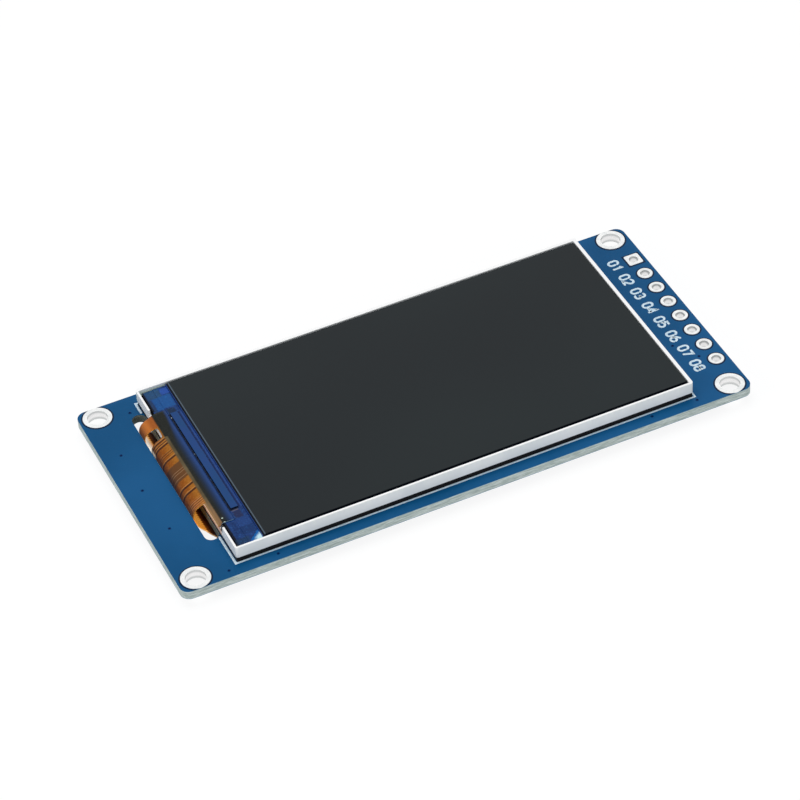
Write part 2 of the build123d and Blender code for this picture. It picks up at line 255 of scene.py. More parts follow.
def colour(red, green, blue):
    """A screen colour from 0 to 255 as the linear light that shaders use."""
    parts = np.array([red, green, blue]) / 255
    linear = np.where(parts <= 0.04045, parts / 12.92, ((parts + 0.055) / 1.055) ** 2.4)
    return tuple(linear.tolist())


print("readings ready")

# %% [markdown]
# A Finish adds the nodes: the settings of each first, then its sockets. Most
# finishes start from two tones of one colour, and tint the result step by
# step where a mask says so. What dresses a solid ends in one shader.

# %% Finishes
class Finish:
    """One node tree under construction, of a material or of the world."""

    def __init__(self, name, kinds=bpy.data.materials):
        self.owner = kinds.new(name)
        self.owner.use_nodes = True
        self.tree = self.owner.node_tree
        self.tree.nodes.clear()

    def node(self, kind, settings, sockets):
        """Adds a node: its settings first, then its values and links."""
        made = self.tree.nodes.new("ShaderNode" + kind)
        for key, value in settings.items():
            setattr(made, key, value)
        for key, value in sockets.items():
            self.feed(self.socket_of(made, key), value)
        return Reading(self, next(o for o in made.outputs if o.enabled))

    def socket_of(self, made, key):
        """A node's input by its number, or the enabled one of a name."""
        if isinstance(key, int):
            return made.inputs[key]
        return next(s for s in made.inputs if s.name == key and s.enabled)

    def feed(self, socket, value):
        """Links a reading to a socket, or writes a constant into it."""
        if isinstance(value, Reading):
            self.tree.links.new(value.socket, socket)
        elif socket.type == "RGBA" and len(value) == 3:
            socket.default_value = (*value, 1.0)
        else:
            socket.default_value = value

    def point(self):
        """The point on the module as a vector, in millimetres."""
        point = self.node("TexCoord", {}, {}).out("Object")
        return self.node("VectorMath", {"operation": "SCALE"}, {0: point, "Scale": 1 / MM})

    def place(self):
        """The point on the module, then its x, y and z."""
        point = self.point()
        return point, *point.parts()

    def shade(self, **sockets):
        """Ends the tree in one Principled shader and gives back the material."""
        named = {key.replace("_", " ").title(): value for key, value in sockets.items()}
        if "Specular" in named:
            named["Specular IOR Level"] = named.pop("Specular")
        return self.end(self.node("BsdfPrincipled", {}, named))

    def end(self, shader, output="OutputMaterial"):
        """Links the last shader to the output, and gives back the tree's owner."""
        made = self.tree.nodes.new("ShaderNode" + output)
        self.tree.links.new(shader.socket, made.inputs["Surface"])
        return self.owner


print("finishes ready")

# %% [markdown]
# ## Light and ground
#
# The module stands on white, under a large soft light from above with a
# little more from the left and from the front, so upright faces come out a
# little darker than level ones. The world is white for what the camera and
# mirrors see, and dimmer for the light that it casts.

# %% World
WHITE = (1.0, 1.0, 1.0)


def looked_at(finish):
    """1 for rays that end in the picture straight, by a mirror or through glass."""
    path = finish.node("LightPath", {}, {})
    seen = path.out("Is Camera Ray").most(path.out("Is Glossy Ray"))
    return seen.most(path.out("Is Transmission Ray"))


def light_world(strength):
    """White behind everything, and an even light of the given strength."""
    finish = Finish("studio", bpy.data.worlds)
    cast = finish.node("Background", {}, {"Color": (0.96, 0.98, 1.0), "Strength": strength})
    white = finish.node("Background", {}, {"Color": WHITE, "Strength": 1.0})
    mixed = finish.node("MixShader", {}, {0: looked_at(finish), 1: cast, 2: white})
    return finish.end(mixed, "OutputWorld")


def soft_lamp(name, place, size, power):
    """A square lamp aimed at the middle of the module, unseen in mirrors."""
    data = bpy.data.lights.new(name, "AREA")
    data.size = size
    data.energy = power
    back = np.array(place) / np.linalg.norm(place)
    side = np.cross((0.0, 1.0, 0.0), back)
    side /= np.linalg.norm(side)
    lamp = posed(name, data, (side, np.cross(back, side), back), place)
    lamp.visible_glossy = False
    return lamp


bpy.context.scene.world = light_world(0.3)
lamps = [
    soft_lamp("overhead", (-0.05, 0.05, 0.6), 0.5, 2.2),
    soft_lamp("left", (-0.6, -0.05, 0.3), 0.35, 0.85),
    soft_lamp("front", (0.05, -0.6, 0.25), 0.4, 0.9),
]
print("lamps:", [lamp.name for lamp in lamps])

# %% [markdown]
# The floor is mostly light, mixed with some plain white paint: it stays
# white, and still keeps a faint shadow.

# %% Floor
def floor_finish(lit_share):
    """Plain white paint, mixed with an even white that only shows the ground."""
    finish = Finish("floor_white")
    paint = finish.node("BsdfDiffuse", {}, {"Color": (0.86, 0.87, 0.88)})
    glow = finish.node("Emission", {}, {"Color": WHITE, "Strength": 1.04})
    lit = looked_at(finish) * lit_share
    return finish.end(finish.node("MixShader", {}, {0: lit, 1: paint, 2: glow}))


def lay_floor(side):
    """One square face, wide enough to fill every view down to its horizon."""
    mesh = bpy.data.meshes.new("floor")
    corners = [(-side, -side, 0), (side, -side, 0), (side, side, 0), (-side, side, 0)]
    mesh.from_pydata(corners, [], [(0, 1, 2, 3)])
    mesh.materials.append(floor_finish(0.86))
    floor = linked("floor", mesh)
    return floor


floor = lay_floor(4.0)
bpy.context.scene.view_settings.view_transform = "Standard"
print("floor laid:", floor.name)

# %% [markdown]
# ## The board
#
# The carrier is glass-fibre laminate under a blue solder mask. From above it
# is an even, slightly glossy blue with a fine ripple where the mask settled
# over the weave. Its cut edges show the bare laminate: pale, grey-green and
# streaked by the glass layers, with the mask as a thin line on top. The walls
# of the slot are darker. One finish reads the height to tell faces from edges,
# and the distance to the holes to draw the dark gap that is left between mask
# and pads.

# %% Board finish
MOUNT = (29.1, 12.85)
RING = span("mounting_pads")[1][0] - MOUNT[0]
HEADER_X, PAD = (pads_low[0] + pads_high[0]) / 2, (pads_high[0] - pads_low[0]) / 2
PITCH, PINS = 2.54, 8
MASK_GAP, MASK = 0.17, 0.045
ROUTED_LEFT, ROUTED_RIGHT, ROUTED_HALF = -26.4, -24.6, 11.6


def dress(finish, *names):
    """Gives solids their finish."""
    for name in names:
        nodes[name].data.materials[0] = finish


def ring_gap(distance, radius):
    """1 in a narrow ring just outside a pad of the given radius."""
    return distance.inside(radius, radius + MASK_GAP, 0.04)


def board_finish():
    """Mask with its dark gaps on the faces, bare laminate on the cut edges."""
    finish = Finish("blue_solder_mask")
    point, x, y, z = finish.place()

    cloud = point.noise(0.09, 3.0)
    speck = point.noise(2.2, 4.0, 0.6)
    mask = cloud.ease(0.3, 0.7).tones((8, 76, 122), (20, 86, 136))
    mask = mask.tint(speck.ease(0.62, 0.78) * 0.2, 46, 108, 158)

    away_x = abs(abs(x) - MOUNT[0])
    away_y = abs(abs(y) - MOUNT[1])
    to_mount = (away_x * away_x + away_y * away_y).root()
    pin_x = x - HEADER_X
    pin_y = (y % PITCH) - PITCH / 2
    to_pin = (pin_x * pin_x + pin_y * pin_y).root()
    square = abs(pin_x).most(abs(pin_y))
    to_pin = to_pin + (square - to_pin) * (y > (PINS / 2 - 1) * PITCH)
    in_row = (abs(y) < PINS / 2 * PITCH) * (x > HEADER_X - PITCH / 2)
    gap = ring_gap(to_mount, RING).most(ring_gap(to_pin, PAD) * in_row)
    mask = mask.tint(gap * 0.9, 2, 14, 40)

    depth = BOARD_HALF - abs(z - BOARD_MIDDLE)
    cut = depth > MASK
    line = (depth > 0.002) - cut
    streak = point.stretched(0.8, 0.8, 9.0).noise(1.1, 5.0, 0.62)
    fibre = point.stretched(5.0, 5.0, 12.0).noise(1.0, 3.0, 0.7)
    edge = streak.ease(0.3, 0.7).tones((150, 166, 162), (210, 220, 217))
    edge = edge.tint(fibre.ease(0.55, 0.8) * 0.5, 238, 243, 240)
    routed = (x < ROUTED_RIGHT) * (x > ROUTED_LEFT) * (abs(y) < ROUTED_HALF)
    walls = streak.ease(0.3, 0.7).tones((92, 98, 92), (134, 142, 134))
    edge = routed.mix(edge, walls)
    base = cut.mix(mask.tint(line, 86, 142, 178), edge)

    weave = finish.node(
        "TexWave",
        {"wave_type": "BANDS", "bands_direction": "DIAGONAL"},
        {"Vector": point, "Scale": 0.9, "Distortion": 1.2, "Detail": 1.0},
    )
    ripple = point.noise(1.6, 2.0).bump(0.12, 0.05)
    ripple = weave.bump(0.03, 0.02, ripple)
    ripple = (streak * cut).bump(0.5, 0.03, ripple)
    rough = 0.3 + speck * 0.12 + cut * 0.4
    return finish.shade(base_color=base, roughness=rough, specular=0.12, normal=ripple)


dress(board_finish(), "printed_circuit_board")
print("board dressed")

# %% [markdown]
# ## Tinned copper, solder and leads
#
# The rings of the holes are copper with a thin levelled coat of tin. Tin is a
# soft metal: pale and satin, slightly mottled, brighter where it pooled at
# the rim. Inside the bores it is smoother, and mirrors the light from above
# and below, with a darker band painted as shade where the pad turns in. The
# same mix, smoother or rougher, serves the solder behind the board and the
# legs of the packages.

# %% Metal finishes
def metal_finish(name, dark, light, roughness, grain, metallic=1.0):
    """Satin metal: two tones clouded together, with a fine uneven surface."""
    finish = Finish(name)
    point, x, y, z = finish.place()
    cloud = point.noise(grain, 4.0, 0.6)
    pits = point.noise(grain * 6, 2.0, 0.5)
    base = cloud.ease(0.35, 0.7).tones(dark, light)
    deep = BOARD_HALF - abs(z - BOARD_MIDDLE)
    bore = deep > 0
    # Painted shade: the wall of a bore is darker near the rim, paler deeper in.
    walls = deep.ease(0.12, 0.38).tones((200, 202, 202), (240, 239, 239))
    base = bore.mix(base, walls)
    rough = roughness + cloud * 0.18 - bore * 0.2
    shine = bore * (1 - metallic) + metallic
    normal = cloud.bump(0.25, 0.03)
    normal = pits.bump(0.12, 0.01, normal)
    return finish.shade(base_color=base, roughness=rough, metallic=shine, normal=normal)


tin = metal_finish("tinned_copper", (236, 238, 238), (253, 253, 252), 0.3, 1.4, metallic=0.7)
solder = metal_finish("bright_solder", (196, 198, 200), (238, 239, 240), 0.16, 2.2)
leads = metal_finish("tinned_lead", (190, 190, 188), (228, 228, 226), 0.3, 3.0)
dress(tin, "mounting_pads", "header_pads", "rear_lands")
dress(solder, "flex_solder", "capacitor_ends", "resistor_ends")
dress(leads, "regulator_leads", "transistor_leads")
print("metals:", tin.name, solder.name, leads.name)

# %% [markdown]
# ## Display stack
#
# The face of the display is a dark polarizing film with a fine anti-glare
# grain, so it mirrors the room only as a grey veil. Under its left end the
# rear glass stands out as a ledge, with wiring and a driver chip under blue
# cured resin. Each of these is a flat solid already, so the work is in the
# finish: colours that change with the place on the ledge.

# %% Face of the display
def face_finish():
    """Dark film with a fine grain, and a pale line where its left end was cut."""
    finish = Finish("dark_polarizer")
    point, x, y, z = finish.place()
    grain = point.noise(9.0, 2.0, 0.6)
    veil = point.noise(0.035, 1.0)
    base = veil.ease(0.3, 0.7).tones((14, 22, 26), (20, 29, 32))
    base = base.tint(z < polarizer_high[2] - 0.01, 10, 13, 16)
    start = polarizer_low[0]
    base = base.tint(x.ease(start + 0.14, start + 0.06), 84, 98, 110)
    normal = grain.bump(0.08, 0.01)
    rough = 0.26 + grain * 0.08
    return finish.shade(base_color=base, roughness=rough, specular=0.2, normal=normal)


dress(face_finish(), "front_polarizer", "rear_polarizer")
print("face dressed")

# %% [markdown]
# Through the glass and the resin of the ledge, the module's wiring shows as
# soft-edged patches of blue: a bright block and a violet one at the far end,
# and dark blocks beside the chip's ends. Painted shade lies black along the
# ledge's left margin by the frame and in thin lines round the chip, two small
# painted highlights stand left of the chip, and a painted highlight lies on a
# corner at the near end. Fine wires run from the film towards the chip. One
# function lays the patches down for the glass and the resin alike, so they run
# on across the border between the two.

# %% Wiring under the ledge
LEDGE, FILTER = glass_low[0], span("color_filter_glass")[0][0]
CHIP_LEFT, CHIP_NEAR = chip_low[:2]
CHIP_RIGHT, CHIP_FAR = chip_high[:2]
GLINT_LINE, GLINT_END = 10.68, -21.5
LEDGE_PATCHES_AND_PAINTED_LIGHT = [
    # Painted shade: black along the ledge's left margin, beside the frame's wall.
    ((LEDGE - 1, 9.2), (LEDGE + 0.16, 13.0), (4, 8, 12), 1.0),
    ((LEDGE - 1, -13.0), (LEDGE + 0.2, -8.8), (8, 12, 20), 1.0),
    ((-23.8, 9.2), (-21.85, 11.1), (24, 84, 148), 0.9),
    ((-22.6, 11.25), (-21.7, 12.1), (40, 82, 168), 0.85),
    ((LEDGE + 0.2, 11.05), (-22.65, 12.5), (38, 78, 112), 0.8),
    ((LEDGE + 0.2, 8.9), (-23.9, 11.1), (40, 62, 84), 0.7),
    ((-23.0, 7.95), (-22.2, 9.0), (18, 38, 62), 0.9),
    ((-23.0, -8.8), (-22.2, -7.75), (32, 36, 70), 0.9),
    ((-23.0, -7.68), (-22.3, -7.5), (128, 112, 92), 0.7),
    ((-23.3, -10.1), (-21.8, -8.85), (28, 62, 122), 0.85),
    ((-23.3, -11.2), (-21.8, -10.1), (12, 46, 96), 0.85),
    ((CHIP_RIGHT + 0.25, CHIP_NEAR), (CHIP_RIGHT + 0.6, CHIP_FAR), (44, 76, 142), 0.7),
    # Painted shade: dark lines close round the chip, at its right side, its left side and its near
    # end.
    ((CHIP_RIGHT - 0.1, CHIP_NEAR), (CHIP_RIGHT + 0.23, CHIP_FAR), (6, 30, 80), 0.95),
    ((CHIP_LEFT - 0.2, CHIP_NEAR - 0.2), (CHIP_LEFT + 0.1, CHIP_FAR), (2, 6, 26), 1.0),
    ((CHIP_LEFT - 0.2, CHIP_NEAR - 0.2), (CHIP_LEFT + 0.8, CHIP_NEAR), (6, 12, 34), 0.9),
    ((LEDGE, -12.4), (-22.9, -11.5), (24, 52, 78), 0.7),
    # Painted highlights: two small glints left of the chip.
    ((-23.06, 7.52), (-22.98, 7.62), (214, 232, 244), 0.95),
    ((-23.06, 1.52), (-22.98, 1.6), (150, 176, 204), 0.95),
]


def ledge_tone(point, x, y):
    """The blue of the ledge, with its patches, its wires, painted shade and highlights, and a
    painted highlight on its near corner.
    """
    drift = point.noise(2.5, 2.0) - 0.5
    along = y + drift * 0.12
    side = x + drift * 0.08
    cloud = point.stretched(1.4, 0.5, 1.0).noise(1.1, 3.0, 0.6)
    base = cloud.ease(0.35, 0.7).tones((16, 46, 98), (28, 64, 126))
    mottle = point.noise(3.2, 3.0, 0.7)
    base = base.tint(mottle.ease(0.5, 0.75) * 0.4, 46, 104, 176)
    base = base.tint(mottle.ease(0.5, 0.3) * 0.35, 14, 30, 66)
    flecks = point.noise(4.5, 3.0, 0.6)
    for low, high, tone, share in LEDGE_PATCHES_AND_PAINTED_LIGHT:
        soft = 0.04 if share > 0.9 else 0.09
        inside = side.inside(low[0], high[0], soft) * along.inside(low[1], high[1], soft)
        base = base.tint(inside * share, *tone)
    open_part = side.ease(LEDGE + 0.2, LEDGE + 0.4)
    base = base.tint(flecks.ease(0.54, 0.72) * open_part * 0.3, 40, 116, 184)
    base = base.tint(flecks.ease(0.46, 0.3) * open_part * 0.35, 8, 34, 78)
    wires = (y % 0.16).inside(0.05, 0.11, 0.02)
    base = base.tint(wires * 0.12, 90, 110, 160)
    # Painted highlight: a bright glint on the corner at the ledge's near end.
    corner = side - along + GLINT_LINE + (mottle - 0.5) * 0.7
    glint = corner.ease(0.25, 0.8).tones((16, 96, 168), (206, 242, 250))
    return (corner.ease(-0.05, 0.1) * (side < GLINT_END)).mix(base, glint)


print("ledge patches:", len(LEDGE_PATCHES_AND_PAINTED_LIGHT))

# %% [markdown]
# The glass is smooth and bare, the resin on it has a softer and uneven gloss,
# and the chip that lies in the resin is bare silicon, a dim blue mirror.

# %% Glass, resin and chip
def glass_finish():
    """Thin glass over dark wiring with painted shade and highlights, nearly black on its cut sides.
    """
    finish = Finish("wired_glass")
    point, x, y, z = finish.place()
    base = ledge_tone(point, x, y)
    level = abs(z - glass_high[2]) < 0.01
    base = base.tint(1 - level, 6, 12, 26)
    front_edge = (z > glass_high[2] + 0.01) * x.ease(FILTER + 0.05, FILTER + 0.02)
    base = base.tint(front_edge, 40, 72, 140)
    smear = point.noise(0.7, 3.0)
    rough = 0.08 + smear * 0.06
    return finish.shade(base_color=base, roughness=rough, specular=0.08)


def resin_finish():
    """Cured resin: the wiring under it with painted shade and highlights, and a soft uneven gloss
    of its own.
    """
    finish = Finish("ledge_blue_resin")
    point, x, y, z = finish.place()
    base = ledge_tone(point, x, y)
    wave = point.stretched(1.2, 0.4, 1.0).noise(1.4, 3.0, 0.6)
    normal = wave.bump(0.25, 0.04)
    return finish.shade(base_color=base, roughness=0.22, specular=0.1, normal=normal)


def chip_finish():
    """Bare silicon: a dim blue mirror on top, nearly black on its cut sides."""
    finish = Finish("chip_silicon")
    point, x, y, z = finish.place()
    shift = point.stretched(0.3, 0.35, 1.0).noise(1.0, 2.0)
    base = shift.ease(0.3, 0.7).tones((8, 64, 116), (20, 62, 124))
    side = z < chip_high[2] - 0.01
    base = base.tint(side, 2, 6, 18)
    return finish.shade(base_color=base, roughness=0.24 + side * 0.5, specular=0.2)


dress(glass_finish(), "array_glass", "color_filter_glass")
dress(resin_finish(), "ledge_resin")
dress(chip_finish(), "driver_chip")
print("ledge dressed")

# %% [markdown]
# ## White frame, tape and the films inside
#
# The frame is moulded in white plastic, matt with a slight sheen. Its edges
# are softened by a Weld, which joins the solid's loose triangles, a narrow
# Bevel and a Weighted Normal, so it catches a soft line of light. Black foam
# tape holds the display off the board.

# %% Frame and tape
BESIDE_FILM, BESIDE_WINDOW, RECESS_CORNER = (-9.3, -4.8), (5.2, 7.6), (-9.62, -9.0)


def plastic_finish(name, dark, light, roughness, grain=3.0, specular=0.5):
    """Moulded plastic: a slow change of tone and a fine moulded grain."""
    finish = Finish(name)
    point = finish.point()
    cloud = point.noise(0.25, 2.0)
    fine = point.noise(grain, 3.0, 0.6)
    base = cloud.ease(0.3, 0.7).tones(dark, light)
    normal = fine.bump(0.2, 0.02)
    rough = roughness + fine * 0.1
    return finish.shade(base_color=base, roughness=rough, specular=specular, normal=normal)


def frame_finish():
    """White moulding, painted whitest on the top of its rim as a highlight, and
    warm on the outside of its left wall beside the film, as painted light bounced from it.

    Black is painted as shade at the foot of its wall beside the window, and in
    the corner of its recess at the film's near edge. The inner face of its back
    wall by the ledge is painted in shade, darker downwards.
    """
    finish = Finish("white_moulding")
    point, x, y, z = finish.place()
    (left, _, foot), (_, back, rim) = display_low, display_high
    cloud = point.noise(0.25, 2.0)
    fine = point.noise(3.0, 3.0, 0.6)
    base = cloud.ease(0.3, 0.7).tones((232, 237, 239), (243, 246, 247))
    # Painted highlight: the top of the rim is pure white.
    base = base.tint(z.ease(rim - 0.08, rim - 0.03), 255, 255, 255)
    outside = x < left + 0.05
    # Painted light: amber light bounced from the film onto the outer face of the left wall.
    base = base.tint(outside * y.inside(*BESIDE_FILM, 0.1), 228, 184, 158)
    # Painted shade: the inner face of the back wall by the ledge, darker downwards.
    inner = y.inside(back - 0.5, back - 0.25, 0.05) * (x < FILTER)
    base = base.tint(inner * z.ease(rim - 0.04, rim - 0.3), 216, 234, 228)
    # Painted shade: black at the foot of the outer wall beside the window, and in the corner of the
    # recess at the film's near edge.
    tape = outside * (z < foot + 0.2) * y.inside(*BESIDE_WINDOW, 0.1)
    corner = (z > rim - 0.72) * y.inside(*RECESS_CORNER, 0.03) * (x < left + 0.3)
    base = base.tint(tape.most(corner), 8, 8, 10)
    normal = fine.bump(0.2, 0.02)
    return finish.shade(base_color=base, roughness=0.4 + fine * 0.1, normal=normal)


def foam_finish():
    """Closed-cell foam: black, matt, with small open pores on its cut side."""
    finish = Finish("black_foam")
    pores = finish.node("TexVoronoi", {"feature": "F1"}, {"Vector": finish.point(), "Scale": 7.0})
    base = pores.ease(0.1, 0.5).tones((6, 6, 8), (18, 18, 20))
    normal = pores.bump(0.6, 0.06)
    return finish.shade(base_color=base, roughness=0.9, specular=0.2, normal=normal)


def soften(name, width):
    """Rounds a solid's sharp edges without touching its mesh."""
    solid = nodes[name]
    weld = solid.modifiers.new("weld", "WELD")
    weld.merge_threshold = 0.001 * MM
    bevel = solid.modifiers.new("bevel", "BEVEL")
    bevel.width = width * MM
    bevel.segments = 2
    bevel.limit_method = "ANGLE"
    bevel.angle_limit = math.radians(40)
    shade = solid.modifiers.new("shade", "WEIGHTED_NORMAL")
    shade.keep_sharp = True


dress(frame_finish(), "backlight_frame")
dress(foam_finish(), "mounting_tape")
soften("backlight_frame", 0.05)
soften("driver_chip", 0.02)
print("frame and tape dressed")

# %% [markdown]
# The films inside the display show only at their edges, if at all, so each
# gets the plain finish of its kind. The lamps are white with a yellow cast,
# on an amber film of their own.

# %% Films inside
white = plastic_finish("white_film", (222, 224, 224), (236, 237, 237), 0.5)
clear = plastic_finish("clear_film", (206, 212, 218), (222, 228, 232), 0.2)
black = plastic_finish("black_tape", (3, 3, 5), (8, 8, 10), 0.6, specular=0.08)
lamp_body = plastic_finish("lamp_body", (222, 214, 160), (238, 232, 190), 0.4)
lamp_film = plastic_finish("lamp_film", (142, 84, 30), (168, 106, 42), 0.35)
dress(white, "reflector_sheet", "diffuser_sheet")
dress(clear, "light_guide", "lower_prism_sheet", "upper_prism_sheet")
dress(black, "rim_tape")
dress(lamp_body, "backlight_leds")
dress(lamp_film, "led_flex")
print("films dressed:", white.name, clear.name, black.name)

# %% [markdown]
# ## Parts behind the board
#
# A regulator, a lamp transistor and a few ceramic parts sit behind the board.
# The packages are black moulding compound, which is glass-filled and matt.
# The ceramics are tan capacitors and black glazed resistors.

# %% Parts behind the board
moulded = plastic_finish("black_moulding", (24, 24, 26), (38, 38, 40), 0.5, 6.0)
tan = plastic_finish("capacitor_ceramic", (164, 134, 104), (186, 156, 124), 0.4)
glaze = plastic_finish("resistor_glaze", (20, 20, 22), (30, 30, 32), 0.22)
dress(moulded, "voltage_regulator", "lamp_transistor")
dress(tan, "capacitors")
dress(glaze, "resistors")
rear = {
    "voltage_regulator": 0.06, "lamp_transistor": 0.06, "capacitors": 0.03,
    "resistors": 0.03, "capacitor_ends": 0.05, "resistor_ends": 0.05,
}
for name, width in rear.items():
    soften(name, width)
print("rear parts dressed:", len(rear))

# %% [markdown]
# ## Surfaces from arrays
#
# New pieces are grids of points worked out with numpy. The helper below turns
# a grid of rows and columns into a mesh: point (row, column) has number
# row times columns plus column, and every cell of the grid is one quad. All
# grids of a piece are stacked into one mesh, doubles are merged so seams
# close, and the piece rides on the module's one body.

# %% Grids into pieces
def grid_quads(rows, columns, first=0, closed=False):
    """Corner numbers of every cell; a closed grid joins its last column to its first."""
    r = np.arange(rows - 1)[:, None]
    c = np.arange(columns if closed else columns - 1)[None, :]
    after = (c + 1) % columns
    quads = np.stack(
        np.broadcast_arrays(
            r * columns + c, r * columns + after, (r + 1) * columns + after, (r + 1) * columns + c
        ),
        axis=-1,
    )
    return quads.reshape(-1, 4) + first


def piece_from(name, grids, finishes, closed=False, flats=None):
    """One object from grids of points in millimetres, shaped rows by columns by 3.

    Flats, where given, are the same grids laid flat, rows by columns by 2, and
    become the piece's UV map.
    """
    points = np.concatenate([g.reshape(-1, 3) for g in grids]) * MM
    starts = np.cumsum([0] + [g.shape[0] * g.shape[1] for g in grids[:-1]])
    quads = np.concatenate(
        [grid_quads(g.shape[0], g.shape[1], s, closed) for g, s in zip(grids, starts)]
    )
    mesh = bpy.data.meshes.new(name)
    mesh.from_pydata(points.tolist(), [], quads.tolist())
    for finish in finishes:
        mesh.materials.append(finish)
    mesh.polygons.foreach_set("use_smooth", np.ones(len(mesh.polygons), bool))
    if flats is not None:
        flat = np.concatenate([f.reshape(-1, 2) for f in flats])
        mesh.uv_layers.new(name="walk").uv.foreach_set("vector", flat[quads.ravel()].ravel())
    piece = linked(name, mesh)
    merge_doubles(mesh, 0.0005 * MM)
    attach(piece, "root")
    return piece


def merge_doubles(mesh, distance):
    """Joins points that meet, and drops the faces that this leaves without area."""
    work = bmesh.new()
    work.from_mesh(mesh)
    bmesh.ops.remove_doubles(work, verts=work.verts, dist=distance)
    bmesh.ops.dissolve_degenerate(work, edges=work.edges, dist=distance)
    work.to_mesh(mesh)
    work.free()


print("grid tools ready")

# %% [markdown]
# ## Printed marks
#
# The white marks are screen-printed ink: thin, slightly raised, soft at the
# ends, and a little uneven. There is an outline round the place of the
# display, and a number beside each pin hole. A stroke is a ribbon: a low
# rounded section carried along the line. Near each end its half width follows
# a half circle, so the stroke ends are round.

# %% Strokes
INK_HEIGHT = 0.025
SECTION = np.array([(-1.0, 0.0), (-0.94, 0.8), (-0.7, 1.0), (0.7, 1.0), (0.94, 0.8), (1.0, 0.0)])


def resampled(line, step):
    """The same line with points at most a step apart, its corners kept."""
    line = np.asarray(line, float)
    lengths = np.linalg.norm(np.diff(line, axis=0), axis=1)
    counts = np.maximum(1, np.ceil(lengths / step).astype(int))
    parts = [
        a + (b - a) * np.linspace(0, 1, n, endpoint=False)[:, None]
        for a, b, n in zip(line[:-1], line[1:], counts)
    ]
    return np.concatenate(parts + [line[-1:]])


def distances(line):
    """How far each point lies from the first along the line."""
    return np.append(0.0, np.cumsum(np.linalg.norm(np.diff(line, axis=0), axis=1)))


def with_ends(line, radius):
    """The line with more points near both ends, where a stroke is rounded off."""
    walked = distances(line)
    near = radius * (1 - np.cos(np.linspace(0, np.pi / 2, 6)))
    marks = np.unique(np.concatenate([near, walked[-1] - near, walked]).round(6))
    return np.stack([np.interp(marks, walked, line[:, axis]) for axis in (0, 1)], 1)


def stroke(line, width):
    """A ribbon on the board along a line: rows follow the line, columns the section.

    The side direction at a point is square to the mean of its two runs, made
    longer at a corner by one over the cosine of half the turn, and the half
    width near an open end is the root of one minus the square of the distance
    that is missing.
    """
    runs = np.diff(line, axis=0)
    runs /= np.linalg.norm(runs, axis=1)[:, None]
    before, after = np.vstack([runs[:1], runs]), np.vstack([runs, runs[-1:]])
    mean = before + after
    mean /= np.linalg.norm(mean, axis=1)[:, None]
    stretch = 1 / np.maximum(0.5, (mean * after).sum(1))
    side = np.stack([-mean[:, 1], mean[:, 0]], 1) * stretch[:, None]
    walked = distances(line)
    missing = np.clip(1 - np.minimum(walked, walked[-1] - walked) * 2 / width, 0, 1)
    half = width / 2 * np.sqrt(1 - missing**2)
    flat = line[:, None, :] + side[:, None, :] * (half[:, None] * SECTION[:, 0])[..., None]
    high = np.broadcast_to(board_top + SECTION[:, 1] * INK_HEIGHT, flat.shape[:2])
    return np.concatenate([flat, high[..., None]], axis=-1)


print("stroke section:", SECTION.shape)

# %% [markdown]
# The digits are short lines and arcs in a box 0.6 wide and 1 high. Each pin
# hole gets a number of two digits, printed beside it along the board.

# %% Pin numbers
def arc(centre, radii, start, end, count=14):
    """Points on an ellipse arc, by angles in degrees."""
    angle = np.radians(np.linspace(start, end, count))
    return np.stack(
        [centre[0] + radii[0] * np.cos(angle), centre[1] + radii[1] * np.sin(angle)], 1
    )


DIGITS = {
    "0": [np.vstack([
        arc((0.3, 0.7), (0.3, 0.3), 0, 180), arc((0.3, 0.3), (0.3, 0.3), 180, 360), [(0.6, 0.7)],
    ])],
    "1": [np.array([(0.1, 0.8), (0.34, 1.0), (0.34, 0.0)])],
    "2": [np.vstack([arc((0.3, 0.7), (0.3, 0.3), 165, -35), [(0.0, 0.0), (0.6, 0.0)]])],
    "3": [np.vstack([
        arc((0.28, 0.75), (0.27, 0.25), 155, -90), arc((0.28, 0.26), (0.31, 0.26), 90, -155),
    ])],
    "4": [np.array([(0.46, 0.0), (0.46, 1.0), (0.0, 0.3), (0.64, 0.3)])],
    "5": [np.vstack([
        [(0.55, 1.0), (0.08, 1.0), (0.04, 0.54)], arc((0.27, 0.32), (0.32, 0.32), 130, -150),
    ])],
    "6": [arc((0.3, 0.3), (0.3, 0.3), 0, 360, 20), arc((0.62, 0.32), (0.62, 0.68), 180, 100)],
    "7": [np.array([(0.0, 1.0), (0.6, 1.0), (0.22, 0.0)])],
    "8": [arc((0.3, 0.76), (0.25, 0.24), 0, 360, 20), arc((0.3, 0.26), (0.3, 0.26), 0, 360, 20)],
}
LABEL_X, LABEL_HEIGHT, LABEL_STEP, LABEL_WIDTH = 27.57, 1.05, 0.86, 0.25


def label_strokes(text, middle_y):
    """A short number whose digits stand towards +x and read towards -y."""
    start = -(len(text) - 1) / 2 * LABEL_STEP - 0.3
    strokes = []
    for place, digit in enumerate(text):
        for line in DIGITS[digit]:
            across = (start + place * LABEL_STEP + line[:, 0]) * LABEL_HEIGHT
            up = (line[:, 1] - 0.5) * LABEL_HEIGHT
            points = resampled(np.stack([LABEL_X + up, middle_y - across], 1), 0.05)
            strokes.append(stroke(with_ends(points, LABEL_WIDTH / 2), LABEL_WIDTH))
    return strokes


def ink_finish():
    """Screen-printed ink: cool white, thin enough for a hint of blue."""
    finish = Finish("white_ink")
    cover = finish.point().noise(4.0, 3.0, 0.6)
    base = cover.ease(0.3, 0.75).tones((196, 222, 238), (232, 245, 252))
    normal = cover.bump(0.3, 0.02)
    return finish.shade(base_color=base, roughness=0.5, specular=0.4, normal=normal)


